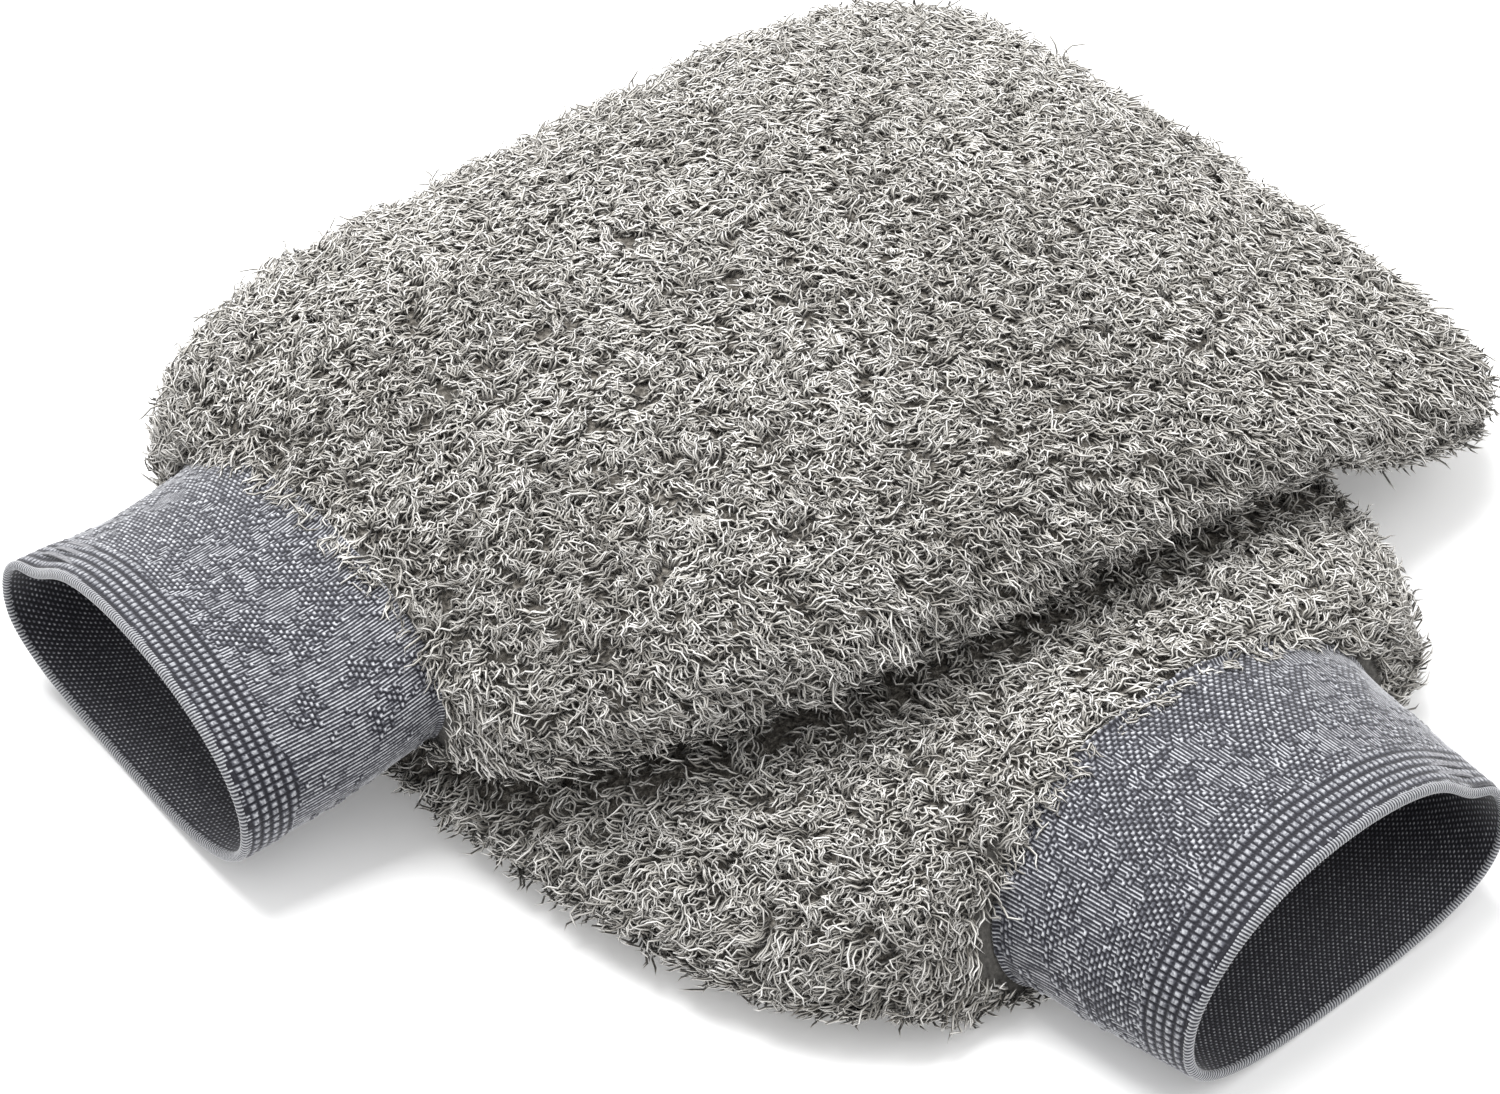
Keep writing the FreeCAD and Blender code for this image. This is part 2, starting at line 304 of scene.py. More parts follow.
# ---- materials ----
def shader(name, roughness, sheen=0.0, specular=0.3):
    material = bpy.data.materials.new(name)
    material.use_nodes = True
    tree = material.node_tree
    principled = tree.nodes["Principled BSDF"]
    principled.inputs["Roughness"].default_value = roughness
    principled.inputs["Specular IOR Level"].default_value = specular
    principled.inputs["Sheen Weight"].default_value = sheen
    principled.inputs["Sheen Roughness"].default_value = 0.5
    return material, tree, principled


def add(tree, kind, inputs=None, **settings):
    node = tree.nodes.new(kind)
    for key, value in settings.items():
        setattr(node, key, value)
    for key, value in (inputs or {}).items():
        if isinstance(value, bpy.types.NodeSocket):
            tree.links.new(value, node.inputs[key])
        else:
            node.inputs[key].default_value = value
    return node


def ramp(tree, factor, stops):
    node = add(tree, "ShaderNodeValToRGB", {"Fac": factor})
    elements = node.color_ramp.elements
    while len(elements) < len(stops):
        elements.new(0.5)
    for element, (position, colour) in zip(elements, stops):
        element.position = position
        element.color = (*colour, 1.0)
    return node.outputs["Color"]


def math_node(tree, operation, a, b=0.0):
    return add(tree, "ShaderNodeMath", {0: a, 1: b}, operation=operation).outputs[0]


def attribute(tree, name):
    return add(tree, "ShaderNodeAttribute", attribute_name=name).outputs["Fac"]


def noise(tree, scale, detail=2.0, rough=0.5):
    place_node = add(tree, "ShaderNodeTexCoord").outputs["Object"]
    return add(tree, "ShaderNodeTexNoise", {"Vector": place_node, "Scale": scale,
               "Detail": detail, "Roughness": rough}).outputs["Fac"]


def bump(tree, principled, height, distance, strength=1.0):
    node = add(tree, "ShaderNodeBump", {"Height": height, "Distance": distance,
               "Strength": strength})
    tree.links.new(node.outputs["Normal"], principled.inputs["Normal"])


def mix_colour(tree, factor, a, b, blend="MIX"):
    node = add(tree, "ShaderNodeMix", data_type="RGBA", blend_type=blend)
    for index, value in ((0, factor), (6, a), (7, b)):
        if isinstance(value, bpy.types.NodeSocket):
            tree.links.new(value, node.inputs[index])
        else:
            node.inputs[index].default_value = value if index == 0 else (*value, 1.0)
    return node.outputs[2]


def pile_material():
    """Polyester pile yarn, warm grey, with painted shade: each strand darkens towards its root,
    deep in the pile, and along its lower sides.
    """
    material, tree, principled = shader("pile_yarn", 0.85, sheen=0.25)
    length = attribute(tree, "tip")
    # Painted shade: the colour darkens from the tip down to the root, where the pile lies in shade.
    colour = ramp(tree, length, [(0.0, (0.008, 0.007, 0.006)), (0.2, (0.09, 0.082, 0.072)),
                                 (0.46, (0.70, 0.685, 0.645)), (0.7, (1.0, 0.99, 0.97))])
    tone = ramp(tree, attribute(tree, "tone"), [(0.0, (0.22, 0.205, 0.185)),
                                                (0.5, (0.68, 0.668, 0.65)),
                                                (1.0, (1.0, 0.995, 0.985))])
    colour = mix_colour(tree, 1.0, colour, tone, "MULTIPLY")
    # Painted shade: each strand is pale along its top edge and dark along its two lower sides, as
    # if lit from above.
    painted_strand_shade = ramp(tree, attribute(tree, "painted_strand_shade"), [(0.0, (0.02, 0.018, 0.016)),
                                                  (0.34, (0.22, 0.208, 0.192)),
                                                  (0.60, (1.0, 1.0, 1.0))])
    colour = mix_colour(tree, 1.0, colour, painted_strand_shade, "MULTIPLY")
    twist = noise(tree, 2600.0, 1.0)
    colour = mix_colour(tree, math_node(tree, "MULTIPLY", twist, 0.25), colour,
                        (0.26, 0.245, 0.22))
    tree.links.new(colour, principled.inputs["Base Color"])
    bump(tree, principled, twist, 0.00012)
    return material


def backing_material():
    """Knitted ground of the pile cloth, with the shadowed feet of the yarns."""
    material, tree, principled = shader("pile_ground", 0.95)
    fine = noise(tree, 900.0, 3.0, 0.6)
    colour = ramp(tree, fine, [(0.32, (0.035, 0.031, 0.026)), (0.52, (0.12, 0.11, 0.095)),
                               (0.68, (0.30, 0.28, 0.25))])
    tree.links.new(colour, principled.inputs["Base Color"])
    bump(tree, principled, fine, 0.0012)
    return material


def knit_material(name, dark, middle, pale):
    """Knit whose raised stitches are pale and whose furrows are darkened by painted shade."""
    material, tree, principled = shader(name, 0.72, sheen=0.35)
    lift = attribute(tree, "lift")
    fine = noise(tree, 2300.0, 2.0)
    level = math_node(tree, "ADD", lift, math_node(tree, "MULTIPLY",
                      math_node(tree, "SUBTRACT", fine, 0.5), 0.45))
    # The dark stop is painted shade in the furrows; the middle and pale stops are the yarns' own
    # colours.
    colour = ramp(tree, level, [(0.20, dark), (0.48, middle), (0.90, pale)])
    tree.links.new(colour, principled.inputs["Base Color"])
    bump(tree, principled, fine, 0.00015)
    return material


def thread_material(name, dark, pale, scale=1500.0):
    """Sewing thread or cloth allowance with a fine twisted grain."""
    material, tree, principled = shader(name, 0.7, sheen=0.2)
    fine = noise(tree, scale, 3.0, 0.6)
    tree.links.new(ramp(tree, fine, [(0.3, dark), (0.7, pale)]), principled.inputs["Base Color"])
    bump(tree, principled, fine, 0.0003)
    return material


PILE = pile_material()
GROUND = backing_material()
FACE = knit_material("cuff_face_knit_yarn", (0.004, 0.004, 0.010), (0.075, 0.077, 0.095),
                     (0.58, 0.59, 0.62))
BACK = knit_material("cuff_back_knit_yarn", (0.003, 0.003, 0.008), (0.12, 0.122, 0.145),
                     (0.95, 0.955, 0.98))
WELT = knit_material("cuff_welt_yarn", (0.01, 0.01, 0.018), (0.14, 0.143, 0.158),
                     (0.56, 0.57, 0.59))
# The seam allowances are real cloth, painted dark like the pile's shaded ground: painted shade at
# the wrist and side seams.
SHADED_ALLOWANCE = thread_material("seam_allowance_painted_shade", (0.03, 0.028, 0.025), (0.12, 0.114, 0.104),
                            900.0)
THREAD = thread_material("overlock_thread_fibre", (0.10, 0.10, 0.105), (0.42, 0.42, 0.42))
ELASTIC = thread_material("elastic_yarn_fibre", (0.05, 0.05, 0.06), (0.30, 0.30, 0.32))


# ---- the pile cloth ----
def cloth_depth(along):
    """The cloth starts level with the cuff and sinks under its own pile."""
    return CLOTH_DEPTH - 1.0 * np.exp(-np.clip(along, 0, None) / 4.0)


def cloth_stations(mitt):
    end = mitt["length"] - CLOTH_DEPTH
    first = np.array([0.8, 2.2, 4.0, 6.5, 10.0, 14.5])
    middle = np.linspace(19.5, end - TIP_CLOSE - 5, 44)
    turn = np.radians([0, 25, 42, 56, 68, 78, 85, 90])
    return np.concatenate([first, middle, end - TIP_CLOSE + TIP_CLOSE * np.sin(turn)])


def cloth_grid(mitt, up):
    """Panel of the pile cloth's outer face: rows along, columns from left to right."""
    along = cloth_stations(mitt)[:, None]
    end = mitt["length"] - CLOTH_DEPTH
    turn = np.linspace(0, math.pi, 45)[None, :]
    share = np.cos(turn)
    share = np.sign(share) * np.abs(share) ** 0.94
    along, share = np.broadcast_arrays(along, share)
    depth = cloth_depth(along)
    power = smooth(mitt["power"], along)
    rise = np.maximum(0.0, 1 - np.abs(share) ** power) ** (1 / power)
    past = np.clip((along - (end - TIP_CLOSE)) / TIP_CLOSE, 0, 1)
    closing = np.sqrt(1 - past ** 2)
    half = np.maximum(smooth(mitt["half"], along) - depth, 3.0) * closing
    width = half_width(mitt, np.minimum(along + CLOTH_DEPTH * past, mitt["length"]), share >= 0)
    groove = SEAM_GROOVE * np.exp(-(rise / 0.42) ** 2) * (share > 0)
    groove = groove * np.clip(along / 30, 0, 1) * (1 - past)
    across = share * (width - depth - groove)
    height = middle_height(mitt, along, across) + up * rise * half
    return place(mitt, along, across, np.maximum(height, CLOTH_FLOOR))


def inflate(mitt, top, under):
    """Cloth simulation of both panels, sewn along their edges, with air pressure inside.
    Each point's move is cut back to SIM_CAP, which more than half of them pass."""
    rows, columns = top.shape[:2]
    points = np.concatenate([top.reshape(-1, 3), under[:-1, 1:-1].reshape(-1, 3)])
    index = np.arange(rows * columns).reshape(rows, columns)
    below = index.copy()
    below[:-1, 1:-1] = rows * columns + np.arange((rows - 1) * (columns - 2)).reshape(rows - 1, -1)
    quads = np.concatenate([
        np.stack([i[:-1, :-1], i[:-1, 1:], i[1:, 1:], i[1:, :-1]], -1).reshape(-1, 4)[:, ::o]
        for i, o in ((index, 1), (below, -1))])
    obj = make_mesh("simulated_cloth", points, quads)
    wrist = np.zeros((rows, columns))
    wrist[:2] = 1.0
    wrist[:, [0, -1]] = np.maximum(wrist[:, [0, -1]], 0.5)
    wrist[-1] = 0.5
    pins = obj.vertex_groups.new(name="pins")
    for grid in (index, below):
        for weight in (0.5, 1.0):
            pins.add([int(i) for i in grid[wrist == weight]], weight, "REPLACE")
    cloth = obj.modifiers.new("cloth", "CLOTH")
    cloth.settings.quality = 6
    cloth.settings.mass = 0.25
    cloth.settings.tension_stiffness = 12
    cloth.settings.compression_stiffness = 12
    cloth.settings.bending_stiffness = 1.2
    cloth.settings.use_pressure = True
    cloth.settings.uniform_pressure_force = 4.0
    cloth.settings.shrink_min = -0.015
    cloth.settings.vertex_group_mass = "pins"
    cloth.settings.effector_weights.gravity = 0.0
    cloth.collision_settings.use_collision = False
    cloth.point_cache.frame_start = 1
    cloth.point_cache.frame_end = SIM_FRAMES
    scene = bpy.context.scene
    for number in range(1, SIM_FRAMES + 1):
        scene.frame_set(number)
    made = obj.evaluated_get(bpy.context.evaluated_depsgraph_get())
    moved = np.zeros(len(points) * 3, np.float32)
    made.data.vertices.foreach_get("co", moved)
    shift = moved.reshape(-1, 3) - points
    size = np.linalg.norm(shift, axis=1, keepdims=True)
    shift *= np.minimum(1.0, SIM_CAP * MM / np.maximum(size, 1e-9))
    scene.frame_set(1)
    bpy.data.objects.remove(obj)
    points = points + shift
    points[:, 2] = np.maximum(points[:, 2], CLOTH_FLOOR * MM)
    return points[index], points[below]


def cloth_piece(name, outer, up):
    """Closed shell of one panel's cloth, its inner face below the outer."""
    fine = finer(outer, 2)
    normals = grid_normals(fine)
    if (normals[..., 2].mean() > 0) != (up > 0):
        normals = -normals
    rows, columns = fine.shape[:2]
    inner = fine - normals * CLOTH_THICK * MM
    edge = np.ones((rows, columns, 1))
    edge[:, [0, -1]] = EDGE_THICK
    edge[-1] = EDGE_THICK
    inner = fine + (inner - fine) * edge
    inner[..., 2] = np.maximum(inner[..., 2], INNER_FLOOR * MM)
    count = rows * columns
    a = grid_quads(rows, columns, flip=up < 0)
    b = grid_quads(rows, columns, start=count, flip=up > 0)
    rim = np.concatenate([np.arange(columns), np.arange(1, rows) * columns + columns - 1,
                          (rows - 1) * columns + np.arange(columns - 2, -1, -1),
                          np.arange(rows - 2, 0, -1) * columns])
    following = np.roll(rim, -1)
    side = np.stack([rim, rim + count, following + count, following], -1)
    side = side if up > 0 else side[:, ::-1]
    uv = np.concatenate([grid_uv(a, rows, columns, 0, (0.01, 0.01), (0.99, 0.48)),
                         grid_uv(b, rows, columns, count, (0.01, 0.5), (0.99, 0.97)),
                         np.tile([[0.01, 0.98], [0.01, 0.99], [0.02, 0.99], [0.02, 0.98]],
                                 (len(side), 1)).reshape(-1, 4, 2)])
    points = np.concatenate([fine.reshape(-1, 3), inner.reshape(-1, 3)])
    obj = make_mesh(name, points, np.concatenate([a, b, side]), bake_uv=uv)
    obj.data.materials.append(GROUND)
    return obj, fine, normals


def scatter(points, normals, density, rng):
    """Random places on a grid; density is the locks of strands per square mm of each cell."""
    corners = [points[:-1, :-1], points[:-1, 1:], points[1:, 1:], points[1:, :-1]]
    area = 0.5 * np.linalg.norm(np.cross(corners[2] - corners[0], corners[3] - corners[1]), axis=-1)
    expected = area / MM ** 2 * density
    count = int(round(expected.sum()))
    run = np.cumsum(expected.reshape(-1))
    pick = np.searchsorted(run, (np.arange(count) + rng.random(count)) * run[-1] / count)
    pick = np.minimum(pick, expected.size - 1)
    r, c = np.unravel_index(pick, expected.shape)
    u, v = rng.random((2, count, 1))
    order = rng.permutation(count)
    found = []
    for field in (points, normals):
        found.append(((1 - u) * ((1 - v) * field[r, c] + v * field[r, c + 1])
                      + u * ((1 - v) * field[r + 1, c] + v * field[r + 1, c + 1]))[order])
    rows = (r + u[:, 0])[order] / (points.shape[0] - 1)
    columns = (c + v[:, 0])[order] / (points.shape[1] - 1)
    return found[0], unit(found[1]), rows, columns


def strands(mitt, up, fine, normals, seed):
    """Centre lines (n, k, 3) of one panel's pile, each strand's tone and upward vector."""
    rng = np.random.default_rng(seed)
    cells = 0.25 * (fine[:-1, :-1] + fine[:-1, 1:] + fine[1:, 1:] + fine[1:, :-1])
    density = np.full(cells.shape[:2], TOP_DENSITY if up > 0 else UNDER_DENSITY)
    if mitt["name"] == "lower" and up > 0:
        covered = in_plan(UPPER, cells.reshape(-1, 3)).reshape(density.shape)
        density[covered] = COVERED_DENSITY
    side = np.abs(np.linspace(-1, 1, density.shape[1]))[None, :]
    if up < 0:
        density = density + (TOP_DENSITY - UNDER_DENSITY) * np.clip((side - 0.55) / 0.12, 0, 1)
    density[:WRIST_CELLS] = TOP_DENSITY * 1.5
    centre, normal, row, column = scatter(fine, normals, density / LOCK_STRANDS, rng)
    count = len(centre)

    turn = math.radians(mitt["heading"])
    ahead = np.array([math.cos(turn), math.sin(turn), 0.0])
    left = np.array([-math.sin(turn), math.cos(turn), 0.0])
    share = np.cos(math.pi * column)[:, None]
    along = np.interp(row * (fine.shape[0] - 1) / 2, np.arange(len(cloth_stations(mitt))),
                      cloth_stations(mitt))[:, None]
    end = mitt["length"]
    outward = (left * np.sign(share) * np.abs(share) ** 3
               + ahead * np.clip((along - end + 45) / 45, 0, 1) ** 2
               - ahead * 0.9 * np.clip(1 - along / 12, 0, 1))
    swirl = wave_noise(centre, 3.0, seed + 1) + 0.3 * wave_noise(centre, 8.0, seed + 2)
    comb = np.clip(np.linalg.norm(outward, axis=1, keepdims=True), 0, 1)
    own_turn = rng.normal(size=(count, 3)) * 0.7
    heading = (unit(swirl) + own_turn) * (1.0 - 0.62 * comb) + outward * 1.15 + 0.25 * ahead
    heading = heading - normal * np.sum(heading * normal, 1, keepdims=True)
    t1 = unit(heading)
    t2 = np.cross(normal, t1)

    shape = wave_noise(centre, 5.0, seed + 3, 4)
    loose = rng.normal(size=(count, 6))
    comb = comb[:, 0]
    start = np.radians(26 + 12 * np.abs(loose[:, 0]) + 12 * comb)
    finish = np.radians(114 + 14 * loose[:, 1] + 8 * shape[:, 0] - 12 * comb)
    curl = (2.4 * shape[:, 1] + 1.2 * loose[:, 2]) * (1 - 0.5 * comb)
    wave = 0.6 + 0.3 * np.abs(loose[:, 3])
    phase = 2 * math.pi * (shape[:, 2] + 0.15 * loose[:, 4])
    length = (6.0 + 0.6 * loose[:, 5] + 1.6 * comb)
    patch = wave_noise(centre, 20.0, seed + 4, 1)[:, 0]
    tone = 0.56 + 0.16 * patch + 0.14 * rng.normal(size=count)

    each = np.repeat(np.arange(count), LOCK_STRANDS)
    total = len(each)
    jitter = rng.normal(size=(total, 8))
    slot_number = np.tile(np.arange(LOCK_STRANDS) - (LOCK_STRANDS - 1) / 2, count)
    offset = (slot_number * LOCK_PITCH + 0.12 * jitter[:, 0]) * MM
    along_offset = 0.8 * jitter[:, 1] * MM
    n, a, b = normal[each], t1[each], t2[each]
    root = centre[each] + b * offset[:, None] + a * along_offset[:, None] - n * 0.4 * MM
    start = start[each] + 0.14 * jitter[:, 2]
    finish = finish[each] + 0.22 * jitter[:, 3]
    curl = curl[each] + 0.35 * jitter[:, 4]
    phase = phase[each] + 0.45 * jitter[:, 5]
    length = length[each] * (1 + 0.12 * jitter[:, 6])
    tone = np.clip(tone[each] + 0.22 * jitter[:, 7], 0, 1)
    wave = wave[each]
    column, row = column[each], row[each]

    seam = np.minimum(np.minimum(column, 1 - column) * 3.0, (1 - row) * 4.0)
    length = length * np.clip(0.62 + seam * 2.2, 0.62, 1.0) * MM
    strays = rng.random(total) < 0.03
    length = np.where(strays, length * 1.4, length)
    start = np.where(strays, start * 0.6, start)
    tone = np.where(strays, np.clip(tone + 0.3, 0, 1), tone)

    path = [root]
    segments = STRAND_RINGS[up]
    for k in range(segments):
        u = (k + 0.5) / segments
        tilt = start + (finish - start) * u ** 0.85
        swing = curl * (u - 0.15) + wave * np.sin(phase + 2 * math.pi * 1.25 * u)
        direction = (np.cos(tilt)[:, None] * n
                     + (np.sin(tilt) * np.cos(swing))[:, None] * a
                     + (np.sin(tilt) * np.sin(swing))[:, None] * b)
        path.append(path[-1] + direction * (length / segments)[:, None])
    path = np.stack(path, 1)
    low = (FLOOR_CLEAR + STRAND_RADIUS + 0.35 * rng.random((total, 1))) * MM
    path[..., 2] = np.where(path[..., 2] < low, low + 0.12 * (path[..., 2] - low), path[..., 2])
    path[..., 2] = np.maximum(path[..., 2], (STRAND_RADIUS + 0.05) * MM)
    # The upward vector turns each tube so that its painted lit top faces up and back against the
    # strand's heading.
    return path, tone, n - 0.6 * a


def strand_pieces(mitt, side, path, tone, upward, rides):
    """Pile strands as meshes of a few thousand each."""
    made = []
    rings, sides = path.shape[1] - 1, STRAND_SIDES
    taper = np.interp(np.arange(rings) / rings, [0, 0.3, 0.75, 1], [1.0, 1.1, 0.95, 0.5])
    per = rings * sides + 1
    pieces = max(1, int(np.ceil(len(path) / PIECE_STRANDS)))
    # Pieces follow the strands' order along the mitt, so each covers a band of it.
    turn = math.radians(mitt["heading"])
    forward = path[:, 0, 0] * math.cos(turn) + path[:, 0, 1] * math.sin(turn)
    order = np.argsort(forward)
    quad = []
    for k in range(rings - 1):
        for j in range(sides):
            n = (j + 1) % sides
            quad.append([k * sides + j, k * sides + n, (k + 1) * sides + n, (k + 1) * sides + j])
    last = (rings - 1) * sides
    tip = [[last + j, last + (j + 1) % sides, rings * sides] for j in range(sides)] + [[2, 1, 0]]
    quad, tip = np.array(quad), np.array(tip)
    quad_uv = np.array([[(j, k), (j + 1, k), (j + 1, k + 1), (j, k + 1)]
                        for k in range(rings - 1) for j in range(sides)], float)
    tip_uv = np.array([[(j, rings - 1), (j + 1, rings - 1), (j + 0.5, rings)]
                       for j in range(sides)] + [[(0, 0), (0.5, 0), (0.5, 0.2)]], float)
    for number, chosen in enumerate(np.array_split(order, pieces)):
        some, light = path[chosen], tone[chosen]
        count = len(some)
        radii = STRAND_RADIUS * MM * taper[None, :] * (0.9 + 0.2 * light[:, None])
        ring = tubes(some[:, :rings], radii, sides, upward[chosen]).reshape(count, -1, 3)
        points = np.concatenate([ring, some[:, rings:]], 1).reshape(-1, 3)
        base = (np.arange(count) * per)[:, None, None]
        quads = (quad + base).reshape(-1, 4)
        triangles = (tip + base).reshape(-1, 3)
        tips = np.concatenate([np.repeat(np.arange(rings), sides), [rings]]) / rings
        # Painted shade: the ring point towards the upward vector is the lit top (1), the two lower
        # sides are dark (0).
        painted_strand_shades = np.array([1.0, 0.0, 0.0] * rings + [0.8])
        cells = int(np.ceil(math.sqrt(count)))
        cell = np.stack([np.arange(count) % cells, np.arange(count) // cells], -1)
        scale = np.array([0.84 / sides, 0.84 / rings])
        corner_uv = [((part * scale + 0.08)[None] + cell[:, None, None, :]) / cells
                     for part in (quad_uv, tip_uv)]
        uv = np.concatenate([c.reshape(-1, 2) for c in corner_uv])
        name = f"{mitt['name']}_{side}_pile_{number + 1:02d}"
        obj = make_mesh(name, points, quads, triangles,
                        {"tip": np.tile(tips, count), "painted_strand_shade": np.tile(painted_strand_shades, count),
                         "tone": np.repeat(light, per)}, uv)
        obj.data.materials.append(PILE)
        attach(obj, rides)
        made.append(obj)
    return made


def panels(mitt):
    """Both pile panels of a mitt, with their strands."""
    name = mitt["name"]
    top, under = cloth_grid(mitt, 1), cloth_grid(mitt, -1)
    top, under = inflate(mitt, top, under)
    for side, outer, up in (("top", top, 1), ("bottom", under, -1)):
        cloth, fine, normals = cloth_piece(f"{name}_{side}_pile_cloth", outer, up)
        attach(cloth, name + "_mitt")
        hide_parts(f"{name}_{side}_pile_panel")
        seed = {"lower": 100, "upper": 200}[name] + (50 if up < 0 else 0)
        path, tone, upward = strands(mitt, up, fine, normals, seed)
        made = strand_pieces(mitt, side, path, tone, upward, name + "_mitt")


# ---- the cuffs ----
def even_angles(mitt, along, count):
    """Angles that cut the section's outline into equal steps."""
    dense = np.linspace(0, 2 * math.pi, 4001)
    line = oval(mitt, np.full(dense.shape, along), dense, 0.0)
    run = np.concatenate([[0], np.cumsum(np.linalg.norm(np.diff(line, axis=0), axis=1))])
    return np.interp(np.arange(count) / count * run[-1], run, dense), run[-1]


def lip(mitt, along, angle):
    """Waves of the soft mouth: how far the edge is moved up and outwards, in mm."""
    near = np.clip((-along - 18) / (CUFF_LENGTH - 18), 0, 1) ** 2
    waves = LIPS[mitt["name"]]
    rise = sum(size * np.exp(-(np.angle(np.exp(1j * (angle - math.radians(at)))) / spread) ** 2)
               for at, spread, size in waves)
    return near * rise


def cuff_points(mitt, along, angle, depth):
    """Points of the knit, with the mouth's waves; past the wrist it runs straight on."""
    left, right = FLARES[mitt["name"]]
    reach = np.where(np.cos(angle) > 0, left, right) * np.cos(angle) ** 2
    onward = np.maximum(along, 0.0) - reach * np.clip(-along / CUFF_LENGTH, 0, 1) ** 2
    points = oval(mitt, np.minimum(along, 0.0), angle, depth)
    heading = math.radians(mitt["heading"])
    points[..., 0] += onward * math.cos(heading) * MM
    points[..., 1] += onward * math.sin(heading) * MM
    points[..., 2] += lip(mitt, along, angle) * MM
    points[..., 2] = np.maximum(points[..., 2], (0.2 + 0.35 * np.clip(depth, 0, 3)) * MM)
    return points


def two_sided(name, shown, hidden, ratio, lift, material, inside):
    """Closed knit layer: a fine shown face and a coarser hidden one, joined at both ends."""
    rows, columns = shown.shape[:2]
    back_rows, back_columns = hidden.shape[:2]
    count = rows * columns
    a = grid_quads(rows, columns, True, flip=inside)
    b = grid_quads(back_rows, back_columns, True, start=count, flip=not inside)
    uv = [grid_uv(a, rows, columns, 0, (0.005, 0.005), (0.995, 0.80)).reshape(-1, 2),
          grid_uv(b, back_rows, back_columns, count, (0.005, 0.82), (0.995, 0.99)).reshape(-1, 2)]
    triangles = []
    half = ratio // 2
    for front, back, flip in ((0, 0, False), (rows - 1, back_rows - 1, True)):
        block = np.arange(back_columns)
        here = count + back * back_columns + block
        beyond = count + back * back_columns + (block + 1) % back_columns
        for step in range(ratio):
            first = front * columns + (block * ratio + step) % columns
            second = front * columns + (block * ratio + step + 1) % columns
            part = np.stack([second, first, here if step < half else beyond], -1)
            triangles.append(part[:, ::-1] if flip != inside else part)
        middle = front * columns + (block * ratio + half) % columns
        part = np.stack([beyond, middle, here], -1)
        triangles.append(part[:, ::-1] if flip != inside else part)
    triangles = np.concatenate(triangles)
    uv.append(np.tile([[0.001, 0.001], [0.004, 0.001], [0.004, 0.004]], (len(triangles), 1)))
    points = np.concatenate([shown.reshape(-1, 3), hidden.reshape(-1, 3)])
    lifts = np.concatenate([lift.reshape(-1), np.full(back_rows * back_columns, 0.3)])
    obj = make_mesh(name, points, np.concatenate([a, b]), triangles, {"lift": lifts},
                    np.concatenate(uv))
    obj.data.materials.append(material)
    return obj


